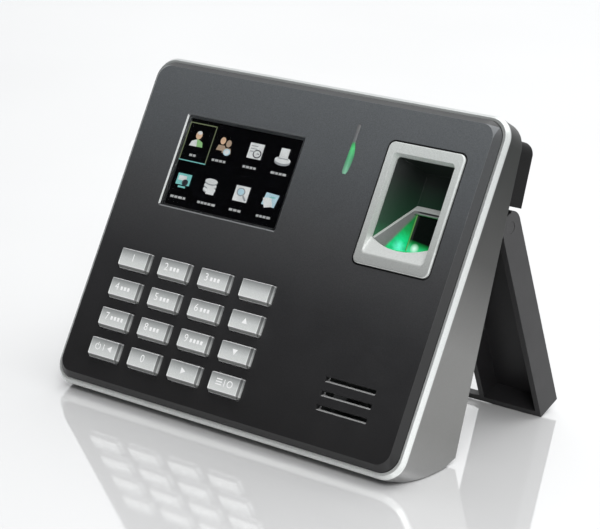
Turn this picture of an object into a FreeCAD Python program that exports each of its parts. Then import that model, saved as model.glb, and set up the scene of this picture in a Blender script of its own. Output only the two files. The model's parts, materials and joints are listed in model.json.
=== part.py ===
import FreeCAD, Part
import math
import os

# Fingerprint scanner terminal on a folding stand, in millimetres.
#
# The terminal is modelled upright first: X to the right, Y into the case (the raised front face is y = 0)
# and Z up the face, with the origin at the middle of the front face. At the end everything is leaned back
# by lean_angle and set on the table, with +Z up and the origin under the middle of the whole object.

V = FreeCAD.Vector

# Case
case_width = 184.9
case_height = 148.9
case_corner = 9.5
lip_start = 3.2             # depth where the case's rim begins
lip_inset = 1.2             # rim's setback at its front edge
lip_corner_cut = 0.9
lip_depth = 4.65            # depth where the rim reaches the full width
wall = 2.5
rim_ledge = 5.2             # front ledge, behind the panel, and the recess for the rear cover
rear_ledge = 7.7            # rear ledge that carries the rear cover
wedge_angle = 10.7          # angle between the front face and the back
back_n = 26.65              # back plane, measured along its own normal
seat_depth = 5.1            # depth of the front panel's seat in the case
ledge_thick = 2.4           # thickness of the ledges
front_hole_corner = 5.0
rear_hole_corner = 3.5
cavity_corner = 7.0
bottom_flat_y = 7.0         # where the case's lower edge starts to curve up to its feet
foot_front_f, foot_rear_f = -24.2, -2.6     # flat under the case, front to rear
heel_z = -56.5              # height of the lower rear edge

# Front panel
plateau_width = 175.2
plateau_height = 139.3
plateau_corner = 6.0
bevel = 2.4                 # width of the bevel round the plateau
bevel_depth = 2.6
panel_skin = 2.4
panel_wall = 3.4
panel_hollow_corner = 4.5
fit_gap = 0.15
post_radius = 3.2
post_reach = 9.0            # depth of the screw holes in the posts
screw_radius = 1.5
screw_length = 7.0
board_post_radius = 2.6
board_screw_radius = 1.0

# Standing
lean_angle = 29.3
floor_g = -70.26            # table height below the face's middle, measured straight down
feet_proud = 0.4
feet_x = (-80.0, 58.0)
foot_length = 22.0
foot_f0, foot_f1 = -21.0, -6.0
foot_thick = 1.2

# Display
screen_x = -31.8
screen_z = 29.85
screen_width = 63.4
screen_height = 40.7
screen_chamfer = 0.8
lens_y = 0.5
lens_back = 1.45
lcd_width, lcd_height = 65.6, 43.6
lcd_y0, lcd_y1 = 2.6, 4.2
tray_width, tray_height = 69.0, 47.0
tray_back = 6.2

# Keypad, four by four
key_width = 16.0
key_height = 8.8
key_corner = 0.5
key_proud = 2.4
key_pitch_x = 22.4
key_pitch_z = 13.3
first_key_x = -64.95
first_key_z = -16.95
key_gap = 0.4
flange_over = 0.9
flange_y0 = 2.8
flange_y1 = 3.6
key_stem_end = 4.6
key_base = 0.6              # height of the cap's upright sides
flange_corner = 1.0
mat_x0, mat_x1 = -75.0, 13.5
mat_z0, mat_z1 = -64.0, -10.0
mat_thick = 1.0
dome_height = 0.6

# Fingerprint opening
bezel_x0, bezel_x1 = 42.0, 78.9
bezel_z0, bezel_z1 = 4.55, 55.85
bezel_corner = 2.8
bezel_proud = 0.8
bezel_groove = 0.4          # dark line left round the bezel
bezel_seat = 0.5
rim_z0, rim_z1 = 8.5, 51.4             # inner line of the raised rim
opening_x0, opening_x1 = 46.1, 74.8
opening_z0, opening_z1 = 15.9, 50.5
scoop_radius = 30.0
scoop_bottom = 12.9
recess_z0 = 9.0
sensor_x0, sensor_x1 = 43.8, 77.1      # sensor body behind the opening
sensor_z0, sensor_z1 = 6.6, 53.2
sensor_board_x0, sensor_board_x1 = 47.0, 74.0
cavity_floor = 15.0
cavity_x0, cavity_x1 = 53.6, 67.3      # the recess narrows to this at its floor
cavity_z0, cavity_z1 = 13.0, 48.5
cradle_wall = 0.9
glass_x0, glass_x1 = 54.6, 66.3
glass_z0, glass_z1 = 16.0, 31.2
ridge_z = 34.8

# Indicator and speaker
# The indicator is leaf-shaped: height, left edge and right edge, from its tip down.
PIPE_LEAF = [(59.75, 24.1, 25.1), (59.2, 23.85, 25.4), (51.7, 23.95, 25.3), (49.2, 23.85, 26.2),
             (46.7, 23.7, 26.7), (43.5, 23.5, 26.6), (40.0, 23.4, 26.0), (38.65, 23.8, 25.4)]
pipe_x = 25.0
pipe_z0, pipe_z1 = 38.65, 59.75
slot_x0, slot_x1 = 47.5, 72.4
slot_first_z = -43.9
slot_pitch = 5.8
slot_low, slot_high = -0.5, 1.85       # slot's edges about its own middle
lip_top = 0.35                         # top of the grille's light lip in each slot
grille_y0, grille_y1 = 2.45, 3.2
lip_end_gap = 0.35
speaker_width, speaker_height = 30.0, 22.0
speaker_back = 7.5
magnet_radius = 8.0
magnet_back = 10.5

# Rear cover
cover_inset = 5.35
cover_thick = 2.5
bump_half_width = 91.9
bump_n = 38.1
bump_m0, bump_m1 = 38.9, 65.0
bump_corner = 5.0
bump_round = 2.0
bump_wall = 2.5
bump_way_in = 82.5          # half width of the opening between the case and the bump
relief_x0, relief_x1 = 42.0, 79.0      # thinned area behind the fingerprint unit
relief_m0 = 5.0
relief_depth = 1.0
screw_head_radius = 2.9
screw_head_sink = 1.3
screw_clear = 0.1

# Stand and hinge
hinge_y, hinge_z = 26.6, 36.3
open_angle = 50.6           # leg's angle from the face, standing
leg_front = 5.95            # side wall's reach in front of the hinge axis
leg_back = 6.8              # side wall's reach behind the hinge axis
stand_half_width = 91.4
stand_inner = 60.8
stand_wall = 2.5
pin_radius = 2.0
pin_head_radius = 2.6
pin_clear = 0.05
pin_head_length = 2.1
knuckle_radius = 3.95
knuckle_gap = 0.5
bar_thick = 3.0
gusset = 4.0
pad_x0, pad_x1 = 66.0, 86.0
pad_front, pad_rear = 0.6, 5.4

# Boards
board_y = 12.0
board_thick = 1.6
keypad_board_y = 7.6
keypad_board_thick = 1.2
board_x0, board_x1 = -83.0, 38.0
board_half_height = 56.0
# each chip: x, z, width, height, thickness
CHIPS = [(-40.0, 20.0, 14.0, 14.0, 1.4), (-15.0, 22.0, 10.0, 12.0, 1.2), (-42.0, -6.0, 18.0, 10.0, 1.2),
         (-10.0, -8.0, 8.0, 6.0, 1.2), (10.0, 36.0, 12.0, 8.0, 1.3)]
cell_x, cell_z = 8.0, -36.0
cell_radius = 10.0
lead_thick = 0.4

# Sockets on the left side
usb_z = -7.0
usb_width, usb_height = 13.1, 5.8
usb_length = 14.0
usb_shell = 0.35
usb_setback = 0.6
jack_z = -20.6
jack_size = 9.0
jack_length = 13.0
jack_hole = 3.2
jack_pin = 1.05
jack_setback = 2.6
socket_clear = 0.2
socket_y = board_y + board_thick + 0.1

BETA = math.radians(wedge_angle)
THETA = math.radians(lean_angle)
shapes = {}


# ---------- basic solids ----------

def block(x0, x1, y0, y1, z0, z1):
    return Part.makeBox(x1 - x0, y1 - y0, z1 - z0, V(x0, y0, z0))


def cylinder_y(x, z, radius, y0, y1):
    return Part.makeCylinder(radius, y1 - y0, V(x, y0, z), V(0, 1, 0))


def cylinder_x(x0, x1, radius, y, z):
    return Part.makeCylinder(radius, x1 - x0, V(x0, y, z), V(1, 0, 0))


def rounded_wire(xc, zc, width, height, radius, y):
    """Rounded rectangle in a plane parallel to the face."""
    a = width / 2 - radius
    b = height / 2 - radius
    corners = [(a, b, 0), (-a, b, 1), (-a, -b, 2), (a, -b, 3)]
    edges = []
    last = None
    first = None
    for cx, cz, quarter in corners:
        start = math.radians(90 * quarter)
        middle = start + math.radians(45)
        end = start + math.radians(90)
        points = []
        for angle in (start, middle, end):
            points.append(V(xc + cx + radius * math.cos(angle), y, zc + cz + radius * math.sin(angle)))
        if last is not None:
            edges.append(Part.makeLine(last, points[0]))
        else:
            first = points[0]
        edges.append(Part.Arc(points[0], points[1], points[2]).toShape())
        last = points[2]
    edges.append(Part.makeLine(last, first))
    return Part.Wire(edges)


def rounded_slab(xc, zc, width, height, radius, y0, y1):
    face = Part.Face(rounded_wire(xc, zc, width, height, radius, y0))
    return face.extrude(V(0, y1 - y0, 0))


def rounded_box(x0, x1, z0, z1, radius, y0, y1):
    return rounded_slab((x0 + x1) / 2, (z0 + z1) / 2, x1 - x0, z1 - z0, radius, y0, y1)


def rounded_taper(xc, zc, width0, height0, radius0, y0, width1, height1, radius1, y1, zc1=None):
    """Bevelled slab between two rounded rectangles; the second may be centred at another height."""
    lower = rounded_wire(xc, zc, width0, height0, radius0, y0)
    upper = rounded_wire(xc, zc if zc1 is None else zc1, width1, height1, radius1, y1)
    return Part.makeLoft([lower, upper], True, True)


def side_prism(points, half_width):
    """Solid with a (y, z) outline, as wide as the case."""
    outline = [V(-half_width, y, z) for y, z in points]
    outline.append(outline[0])
    return Part.Face(Part.makePolygon(outline)).extrude(V(2 * half_width, 0, 0))


def turn_x(shape, degrees):
    shape.rotate(V(0, 0, 0), V(1, 0, 0), degrees)
    return shape


def back_block(x0, x1, n0, n1, m0, m1):
    """Box square to the back plane: n out of the back, m up the back."""
    return turn_x(block(x0, x1, n0, n1, m0, m1), wedge_angle)


def table_block(x0, x1, f0, f1, g0, g1):
    """Box square to the table: f to the rear, g up."""
    return turn_x(block(x0, x1, f0, f1, g0, g1), lean_angle)


def back_to_case(n, m):
    y = n * math.cos(BETA) - m * math.sin(BETA)
    z = n * math.sin(BETA) + m * math.cos(BETA)
    return y, z


def back_y(z, n):
    """Depth of the plane at n, at height z."""
    return (n - z * math.sin(BETA)) / math.cos(BETA)


def table_to_case(f, g):
    y = f * math.cos(THETA) - g * math.sin(THETA)
    z = f * math.sin(THETA) + g * math.cos(THETA)
    return y, z


# ---------- case ----------

FACET_FRONT = table_to_case(foot_front_f, floor_g + feet_proud)
FACET_REAR = table_to_case(foot_rear_f, floor_g + feet_proud)


def side_outline(inset, back):
    """Side view of the case with its walls moved in by inset and its back at n = back."""
    lift = inset / math.cos(THETA)
    top = case_height / 2 - inset
    bottom = -case_height / 2 + inset
    heel = heel_z + inset
    return [
        (1.0, top),
        (1.0, bottom),
        (bottom_flat_y, bottom + 0.1),
        (FACET_FRONT[0], FACET_FRONT[1] + lift),
        (FACET_REAR[0], FACET_REAR[1] + lift),
        (back_y(heel, back), heel),
        (back_y(top, back), top),
    ]


def case_volume(width, height, corner, inset, back):
    prism = rounded_slab(0, 0, width, height, corner, lip_depth, 60)
    return prism.common(side_prism(side_outline(inset, back), case_width))


cover_front = back_n - cover_thick


def inset_volume(inset, corner, back):
    return case_volume(case_width - 2 * inset, case_height - 2 * inset, corner, inset, back)


def housing_frame():
    rim = rounded_taper(0, 0, case_width - 2 * lip_inset, case_height - 2 * lip_inset,
                        case_corner - lip_corner_cut, lip_start, case_width, case_height, case_corner, lip_depth)
    body = case_volume(case_width, case_height, case_corner, 0, back_n).fuse(rim)
    seat = rounded_slab(0, 0, panel_width + 2 * fit_gap, panel_height + 2 * fit_gap, panel_corner,
                        0, seat_depth)
    front_hole = inset_volume(rim_ledge, front_hole_corner, back_n + 20)
    cover_seat = front_hole.common(back_block(-100, 100, cover_front - 0.05, 80, -120, 120))
    front_hole = front_hole.common(block(-100, 100, 0, seat_depth + 3, -90, 90))
    rear_hole = inset_volume(rear_ledge, rear_hole_corner, back_n + 20)
    wide = inset_volume(wall, cavity_corner, cover_front - ledge_thick)
    wide = wide.common(block(-100, 100, seat_depth + ledge_thick, 60, -90, 90))
    body = body.cut(seat).cut(front_hole).cut(wide).cut(rear_hole).cut(cover_seat)
    for x0 in feet_x:
        body = body.cut(table_block(x0 - 0.1, x0 + foot_length + 0.1, foot_f0 - 0.1, foot_f1 + 0.1,
                                    floor_g - 1, floor_g + foot_thick))
    outside = -case_width / 2 - 1
    usb_cut = block(outside, outside + 5, socket_y - socket_clear, socket_y + usb_height + socket_clear,
                    usb_z - usb_width / 2 - socket_clear, usb_z + usb_width / 2 + socket_clear)
    jack_cut = cylinder_x(outside, outside + 5, jack_hole + 0.3, socket_y + jack_size / 2, jack_z)
    return body.cut(usb_cut).cut(jack_cut).removeSplitter()


panel_width = plateau_width + 2 * bevel
panel_height = plateau_height + 2 * bevel
panel_corner = plateau_corner + bevel - 0.4
SCREW_SPOTS = [(-80.5, 16.0), (80.5, 16.0), (-80.5, -43.0), (80.5, -43.0), (28.0, 16.0), (28.0, -43.0)]
BOARD_SPOTS = [(-79.5, 52.0), (34.0, 50.0), (-79.5, -30.0), (34.0, -30.0)]


def key_places():
    places = []
    for row in range(4):
        for column in range(4):
            places.append((first_key_x + column * key_pitch_x, first_key_z - row * key_pitch_z))
    return places


def screw_m(z):
    """Height along the back where a screw that starts at height z on the case's back plane sits."""
    return (z - back_n * math.sin(BETA)) / math.cos(BETA)


def screw_cylinder(x, z, radius, n0, n1):
    y, height = back_to_case(n0, screw_m(z))
    direction = V(0, math.cos(BETA), math.sin(BETA))
    return Part.makeCylinder(radius, n1 - n0, V(x, y, height), direction)


def front_panel():
    plate = rounded_slab(0, 0, panel_width, panel_height, panel_corner, bevel_depth, seat_depth - 0.1)
    top = rounded_taper(0, 0, plateau_width, plateau_height, plateau_corner, 0,
                        panel_width, panel_height, panel_corner, bevel_depth)
    panel = plate.fuse(top)
    hollow = rounded_slab(0, 0, panel_width - 2 * panel_wall, panel_height - 2 * panel_wall,
                          panel_hollow_corner, panel_skin, seat_depth)
    panel = panel.cut(hollow)
    for x, z in SCREW_SPOTS:
        post = screw_cylinder(x, z, post_radius, -20, cover_front - 0.1)
        post = post.common(block(-100, 100, panel_skin - 0.5, 60, -90, 90))
        panel = panel.fuse(post)
    for x, z in BOARD_SPOTS:
        panel = panel.fuse(cylinder_y(x, z, board_post_radius, panel_skin - 0.5, board_y))
        panel = panel.cut(cylinder_y(x, z, board_screw_radius, board_y - 6, board_y + 1))
    for x, z in SCREW_SPOTS:
        panel = panel.cut(screw_cylinder(x, z, screw_radius, cover_front - post_reach, back_n))
    flare = 2 * screen_chamfer
    panel = panel.cut(rounded_taper(screen_x, screen_z, screen_width + flare, screen_height + flare, 1.6, 0,
                                    screen_width, screen_height, 1.0, lens_y))
    panel = panel.cut(rounded_slab(screen_x, screen_z, screen_width, screen_height, 1.0, lens_y, lens_back))
    panel = panel.cut(rounded_slab(screen_x, screen_z, screen_width - 2, screen_height - 2, 0.8, 0, 4))
    for x, z in key_places():
        panel = panel.cut(rounded_slab(x, z, key_width + 2 * key_gap, key_height + 2 * key_gap,
                                       key_corner + key_gap, -1, 4))
    panel = panel.cut(rounded_box(bezel_x0 + 2, bezel_x1 - 2, bezel_z0 + 2, bezel_z1 - 2, 2.0, -1, 4))
    panel = panel.cut(rounded_box(bezel_x0 - bezel_groove, bezel_x1 + bezel_groove, bezel_z0 - bezel_groove,
                                  bezel_z1 + bezel_groove, bezel_corner + bezel_groove, -1, bezel_seat))
    panel = panel.cut(pipe_prism(0.1, -1, 4))
    for z in slot_rows():
        panel = panel.cut(rounded_box(slot_x0, slot_x1, z + slot_low, z + slot_high, 0.5, -1, 4))
    return panel.removeSplitter()


def rear_cover():
    """Plate let into the back of the case, with a wide housing bump across its top."""
    plate = inset_volume(cover_inset, 4.8, back_n)
    plate = plate.common(back_block(-100, 100, cover_front, back_n, -120, 120))
    low = bump_m0 - 12
    middle = (low + bump_m1) / 2
    bump = rounded_slab(0, middle, 2 * bump_half_width, bump_m1 - low, bump_corner, back_n, bump_n)
    rear_edges = [e for e in bump.Edges if min(v.Y for v in e.Vertexes) > bump_n - 0.01]
    bump = bump.makeFillet(bump_round, rear_edges)
    bump = bump.common(block(-100, 100, 0, 80, bump_m0, bump_m1 + 1))
    room = rounded_box(-bump_half_width + bump_wall, bump_half_width - bump_wall, bump_m0 + bump_wall,
                       bump_m1 - bump_wall, 3.0, back_n + 2, bump_n - bump_wall)
    way_in = rounded_box(-bump_way_in, bump_way_in, bump_m0 + bump_wall, bump_m1 - 4, 3.0,
                         cover_front - 1, back_n + 3)
    cover = plate.fuse(turn_x(bump, wedge_angle)).cut(turn_x(room.fuse(way_in), wedge_angle))
    cover = cover.cut(back_block(relief_x0, relief_x1, cover_front - 1, cover_front + relief_depth,
                                 relief_m0, bump_m0 + bump_wall + 1))
    for x, z in SCREW_SPOTS:
        cover = cover.cut(screw_cylinder(x, z, screw_radius + screw_clear, cover_front - 1, back_n + 1))
        cover = cover.cut(screw_cylinder(x, z, screw_head_radius + 2 * screw_clear,
                                         back_n - screw_head_sink, back_n + 1))
    return cover.removeSplitter()


# ---------- display, indicator, speaker ----------

def display_lens():
    return rounded_slab(screen_x, screen_z, screen_width - 0.2, screen_height - 0.2, 0.9, lens_y, lens_back)


def lcd_panel():
    return rounded_slab(screen_x, screen_z, lcd_width, lcd_height, 0.5, lcd_y0, lcd_y1)


def lcd_frame():
    tray = rounded_slab(screen_x, screen_z, tray_width, tray_height, 1.0, lcd_y0, tray_back)
    return tray.cut(rounded_slab(screen_x, screen_z, lcd_width + 0.2, lcd_height + 0.2, 0.6,
                                 2.0, lcd_y1 + 0.05))


def pipe_prism(grow, y0, y1):
    """The leaf outline of the indicator, widened by grow."""
    left = []
    right = []
    for z, x0, x1 in PIPE_LEAF:
        up = grow if z > 50 else -grow
        left.append(V(x0 - grow, y0, z + up))
        right.append(V(x1 + grow, y0, z + up))
    outline = left + right[::-1]
    return Part.Face(Part.makePolygon(outline + outline[:1])).extrude(V(0, y1 - y0, 0))


def light_pipe():
    collar = rounded_box(pipe_x - 2.6, pipe_x + 2.8, pipe_z0 - 1.2, pipe_z1 + 1.2, 1.2, panel_skin, 3.4)
    guide = block(pipe_x - 0.9, pipe_x + 0.9, 3.4, 10.4, 45.0, 53.0)
    return pipe_prism(0, -0.15, panel_skin).fuse(collar).fuse(guide).removeSplitter()


def status_led():
    return block(pipe_x - 1.4, pipe_x + 1.4, 10.6, board_y, 47.2, 50.8)


def slot_rows():
    return [slot_first_z - row * slot_pitch for row in range(3)]


def speaker_grille():
    """Light-coloured insert behind the slots, with a sloping lip along the bottom of each one."""
    z = slot_first_z - slot_pitch
    grille = rounded_box(slot_x0 - 2, slot_x1 + 2, z - 9, z + 9.5, 1.5, grille_y0, grille_y1)
    for z in slot_rows():
        grille = grille.cut(block(slot_x0 + 0.3, slot_x1 - 0.3, 0, 4, z + lip_top, z + slot_high))
        lip = [(0.1, z + slot_low + 0.1), (0.1, z + slot_low + 0.3), (1.4, z + lip_top),
               (grille_y1, z + lip_top), (grille_y1, z + slot_low + 0.1)]
        length = block(slot_x0 + lip_end_gap, slot_x1 - lip_end_gap, 0, 4, z - 2, z + 2)
        grille = grille.fuse(side_prism(lip, 100).common(length))
    return grille.removeSplitter()


def speaker():
    x = (slot_x0 + slot_x1) / 2
    z = slot_first_z - slot_pitch
    front = grille_y1 + 0.1
    frame = rounded_slab(x, z, speaker_width, speaker_height, 3.0, front, speaker_back)
    magnet = cylinder_y(x, z, magnet_radius, speaker_back, magnet_back)
    cone = Part.makeCone(8.5, 3.5, 2.2, V(x, front, z), V(0, 1, 0))
    return frame.fuse(magnet).cut(cone)


# ---------- fingerprint unit ----------

def finger_opening(y0, y1, grow):
    """Rectangular opening whose bottom edge bulges down in an arc."""
    x0, x1 = opening_x0 - grow, opening_x1 + grow
    z0, z1 = opening_z0 - grow, opening_z1 + grow
    centre = (x0 + x1) / 2
    opening = rounded_box(x0, x1, z0, z1, 1.6, y0, y1)
    disc = cylinder_y(centre, scoop_bottom - grow + scoop_radius, scoop_radius, y0, y1)
    return opening.fuse(disc.common(block(x0, x1, y0, y1, z0 - 6, z0 + 3)))


def fingerprint_bezel():
    width = bezel_x1 - bezel_x0
    height = bezel_z1 - bezel_z0
    xc = (bezel_x0 + bezel_x1) / 2
    zc = (bezel_z0 + bezel_z1) / 2
    flange = rounded_taper(xc, zc, width - 1.0, height - 1.0, bezel_corner - 0.5, -bezel_proud,
                           width, height, bezel_corner, -0.25)
    flange = flange.fuse(rounded_slab(xc, zc, width, height, bezel_corner, -0.25, bezel_seat))
    plug = rounded_slab(xc, zc, width - 4.2, height - 4.2, 1.9, bezel_seat, panel_skin)
    rim_x = (opening_x0 + opening_x1) / 2
    rim_zc = (rim_z0 + rim_z1) / 2
    flare = rounded_taper(rim_x, rim_zc, opening_x1 - opening_x0 + 1.6, rim_z1 - rim_z0, 2.0,
                          -bezel_proud - 0.02, opening_x1 - opening_x0, opening_z1 - opening_z0, 1.2, 1.7,
                          (opening_z0 + opening_z1) / 2)
    return flange.fuse(plug).cut(flare).cut(finger_opening(-2, 4, 0)).removeSplitter()


def funnel(x0, x1, z0, z1, y0, xr0, xr1, zr0, zr1, y1):
    """Straight-sided funnel between a front rectangle and a rear one."""
    front = [V(x0, y0, z0), V(x1, y0, z0), V(x1, y0, z1), V(x0, y0, z1)]
    rear = [V(xr0, y1, zr0), V(xr1, y1, zr0), V(xr1, y1, zr1), V(xr0, y1, zr1)]
    rims = [Part.makePolygon(corners + corners[:1]) for corners in (front, rear)]
    return Part.makeLoft(rims, True, True)


def recess(shrink):
    """The finger recess in the sensor body, made smaller all round by shrink."""
    return funnel(opening_x0 - 0.1 + shrink, opening_x1 + 0.1 - shrink,
                  recess_z0 + shrink, opening_z1 + 0.3 - shrink, panel_skin,
                  cavity_x0 + shrink, cavity_x1 - shrink, cavity_z0 + shrink, cavity_z1 - shrink, cavity_floor)


def sensor_body():
    outer = rounded_box(sensor_x0, sensor_x1, sensor_z0, sensor_z1, 1.5, panel_skin + 0.1, cavity_floor + 1.5)
    window = block(glass_x0 - 0.1, glass_x1 + 0.1, cavity_floor - 1, cavity_floor + 3,
                   glass_z0 - 0.1, glass_z1 + 0.1)
    return outer.cut(recess(0)).cut(window)


def finger_cradle():
    """Silver lining of the lower recess, whose edge climbs from the front lip to a ridge above the glass."""
    low = panel_skin + 0.2
    high = cavity_floor - 0.1
    outline = [(low, 8.0), (low, opening_z0 + 1.0), (high, ridge_z), (high, 8.0)]
    lining = recess(0.1).common(side_prism(outline, 100))
    hollow = funnel(opening_x0 + cradle_wall, opening_x1 - cradle_wall, scoop_bottom, ridge_z + 8,
                    panel_skin, glass_x0, glass_x1, glass_z0, glass_z1 + 6, cavity_floor)
    ledge = block(glass_x0 - 1, glass_x1 + 1, high - 1.2, high, glass_z1, ridge_z)
    return lining.cut(hollow).fuse(lining.common(ledge)).removeSplitter()


def sensor_glass():
    return block(glass_x0, glass_x1, cavity_floor + 0.05, cavity_floor + 2.4, glass_z0, glass_z1)


def sensor_board():
    return block(sensor_board_x0, sensor_board_x1, cavity_floor + 2.4, cavity_floor + 3.6, 10.0, 34.0)


# ---------- keypad ----------

def key_top(x, z):
    """Key cap with narrow bevels, wider on the right and widest along the lower edge."""
    lower = rounded_wire(x, z, key_width, key_height, key_corner, -key_base)
    upper = rounded_wire(x - 0.2, z + 0.5, key_width - 1.1, key_height - 1.6, 0.35, -key_proud)
    return Part.makeLoft([lower, upper], True, True)


def key_solid(x, z):
    side = rounded_slab(x, z, key_width, key_height, key_corner, -key_base, flange_y0)
    flange = rounded_slab(x, z, key_width + 2 * flange_over, key_height + 2 * flange_over, flange_corner,
                          flange_y0, flange_y1)
    stem = block(x - 3, x + 3, flange_y1, key_stem_end, z - 2, z + 2)
    return key_top(x, z).fuse(side).fuse(flange).fuse(stem).removeSplitter()


def keypad_mat():
    front = keypad_board_y - mat_thick
    mat = block(mat_x0, mat_x1, front, keypad_board_y, mat_z0, mat_z1)
    for x, z in key_places():
        mat = mat.fuse(Part.makeCone(3.4, 2.2, dome_height, V(x, front, z), V(0, -1, 0)))
    return mat.removeSplitter()


def keypad_board():
    return block(mat_x0, mat_x1, keypad_board_y, keypad_board_y + keypad_board_thick, mat_z0, mat_z1)


# ---------- electronics ----------

def main_board():
    board = block(board_x0, board_x1, board_y, board_y + board_thick, -board_half_height, board_half_height)
    for x, z in SCREW_SPOTS:
        board = board.cut(screw_cylinder(x, z, post_radius + 1.0, -20, back_n))
    for x, z in BOARD_SPOTS:
        board = board.cut(cylinder_y(x, z, board_screw_radius, board_y - 1, board_y + 3))
    return board


def board_chips():
    y = board_y + board_thick
    solids = []
    for x, z, width, height, thick in CHIPS:
        solids.append(block(x - width / 2, x + width / 2, y, y + thick, z - height / 2, z + height / 2))
    return Part.makeCompound(solids)


def usb_socket():
    x0 = -case_width / 2 + usb_setback
    z0, z1 = usb_z - usb_width / 2, usb_z + usb_width / 2
    shell = block(x0, x0 + usb_length, socket_y, socket_y + usb_height, z0, z1)
    mouth = block(x0 - 1, x0 + usb_length - 1.5, socket_y + usb_shell, socket_y + usb_height - usb_shell,
                  z0 + usb_shell, z1 - usb_shell)
    tongue = block(x0 + 1.0, x0 + usb_length - 1.4, socket_y + 3.4, socket_y + 5.1, z0 + 1.1, z1 - 1.1)
    return shell.cut(mouth).fuse(tongue).removeSplitter()


def power_jack():
    x0 = -case_width / 2 + jack_setback
    yc = socket_y + jack_size / 2
    body = block(x0, x0 + jack_length, socket_y, socket_y + jack_size,
                 jack_z - jack_size / 2, jack_z + jack_size / 2)
    body = body.cut(cylinder_x(x0 - 1, x0 + jack_length - 3.5, jack_hole, yc, jack_z))
    return body.fuse(cylinder_x(x0 + 1.5, x0 + jack_length - 3.0, jack_pin, yc, jack_z)).removeSplitter()


def coin_cell():
    return cylinder_y(cell_x, cell_z, cell_radius, board_y + board_thick + 1.3, board_y + board_thick + 4.5)


def coin_cell_holder():
    y = board_y + board_thick
    holder = cylinder_y(cell_x, cell_z, cell_radius + 1.6, y, y + 4.0)
    return holder.cut(cylinder_y(cell_x, cell_z, cell_radius + 0.1, y + 1.2, y + 5.0))


def ribbon(x0, x1, points, thick):
    """Flat lead whose side view is a run of straight pieces."""
    upper = [V(x0, y, z) for y, z in points]
    lower = [V(x0, y + thick[0], z + thick[1]) for y, z in reversed(points)]
    outline = upper + lower
    return Part.Face(Part.makePolygon(outline + outline[:1])).extrude(V(x1 - x0, 0, 0))


def keypad_ribbon():
    y0 = keypad_board_y + keypad_board_thick
    return ribbon(-38.0, -24.0, [(y0, -14.0), (board_y, -12.0)], (0, lead_thick))


def display_ribbon():
    return ribbon(-44.0, -20.0, [(tray_back, 9.0), (board_y, 11.0)], (0, lead_thick))


def sensor_ribbon():
    y = board_y + board_thick
    start = board_x1 - 4.0
    rear = cavity_floor + 2.4
    path = [(start, y), (41.0, y), (44.5, rear), (sensor_board_x0, rear),
            (sensor_board_x0, rear + lead_thick), (44.3, rear + lead_thick), (40.8, y + lead_thick),
            (start, y + lead_thick)]
    lead = [V(x, depth, 20.0) for x, depth in path]
    return Part.Face(Part.makePolygon(lead + lead[:1])).extrude(V(0, 0, 8.0))


# ---------- fasteners and feet ----------

def housing_screws():
    solids = []
    for x, z in SCREW_SPOTS:
        head = screw_cylinder(x, z, screw_head_radius, back_n - screw_head_sink, back_n - 0.1)
        head = head.cut(screw_cylinder(x, z, 1.1, back_n - 0.9, back_n + 1))
        shank = screw_cylinder(x, z, screw_radius, cover_front - screw_length, back_n - screw_head_sink)
        solids.append(head.fuse(shank).removeSplitter())
    return Part.makeCompound(solids)


def board_screws():
    solids = []
    y = board_y + board_thick
    for x, z in BOARD_SPOTS:
        head = cylinder_y(x, z, 2.0, y, y + 1.2).cut(cylinder_y(x, z, 0.8, y + 0.5, y + 2))
        solids.append(head.fuse(cylinder_y(x, z, board_screw_radius, board_y - 5, y)).removeSplitter())
    return Part.makeCompound(solids)


def rubber_feet():
    solids = []
    for x0 in feet_x:
        solids.append(table_block(x0, x0 + foot_length, foot_f0, foot_f1, floor_g, floor_g + foot_thick))
    return Part.makeCompound(solids)


# ---------- stand ----------
# The stand is drawn about its hinge axis with the leg hanging straight down:
# y is p, out of the stand's back, and z is up the leg. It is then swung out to open_angle.

ALPHA = math.radians(open_angle)
FOOT_TILT = ALPHA - THETA
CORNER_CLEAR = 0.3


def leg_length():
    """Length that puts the foot's front edge just above the table."""
    hinge_g = -hinge_y * math.sin(THETA) + hinge_z * math.cos(THETA)
    drop = hinge_g - floor_g - CORNER_CLEAR
    return (drop - leg_front * math.sin(FOOT_TILT)) / math.cos(FOOT_TILT)


LEG = leg_length()


def place_stand(shape):
    shape = turn_x(shape, open_angle)
    shape.translate(V(0, hinge_y, hinge_z))
    return shape


def side_wall(x0, x1, front, round_radius):
    wall_shape = block(x0, x1, -front, leg_back, -LEG, -2.0)
    rear = block(x0, x1, 0, leg_back, -2.1, 1.0)
    return wall_shape.fuse(rear).fuse(cylinder_x(x0, x1, round_radius, 0, 0))


def hinge_wrap(x0, x1):
    """Curved top of the stand's back, round the knuckle."""
    ring = cylinder_x(x0, x1, leg_back, 0, 0).cut(cylinder_x(x0 - 1, x1 + 1, leg_back - stand_wall, 0, 0))
    wedge = [V(x0, 0, 0), V(x0, 12, 0), V(x0, 12, 12), V(x0, 12 * math.cos(math.radians(70)), 12)]
    keep = Part.Face(Part.makePolygon(wedge + wedge[:1])).extrude(V(x1 - x0, 0, 0))
    return ring.common(keep)


def stand_leg():
    """Right-hand leg: a channel with two side walls, a back and a foot."""
    inner, outer = stand_inner, stand_half_width
    back = block(inner, outer, leg_back - stand_wall, leg_back, -LEG, 0.0)
    foot = block(inner, outer, -leg_front, leg_back, -LEG, -LEG + stand_wall)
    leg = side_wall(outer - stand_wall, outer, leg_front, leg_front)
    leg = leg.fuse(side_wall(inner, inner + stand_wall, leg_front, leg_front))
    leg = leg.fuse(back).fuse(foot).fuse(hinge_wrap(inner, outer))
    leg = leg.cut(cylinder_x(inner - 1, outer + 1, pin_radius, 0, 0))
    leg = leg.cut(cylinder_x(outer - pin_head_length, outer + 1, pin_head_radius, 0, 0))
    return leg


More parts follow.
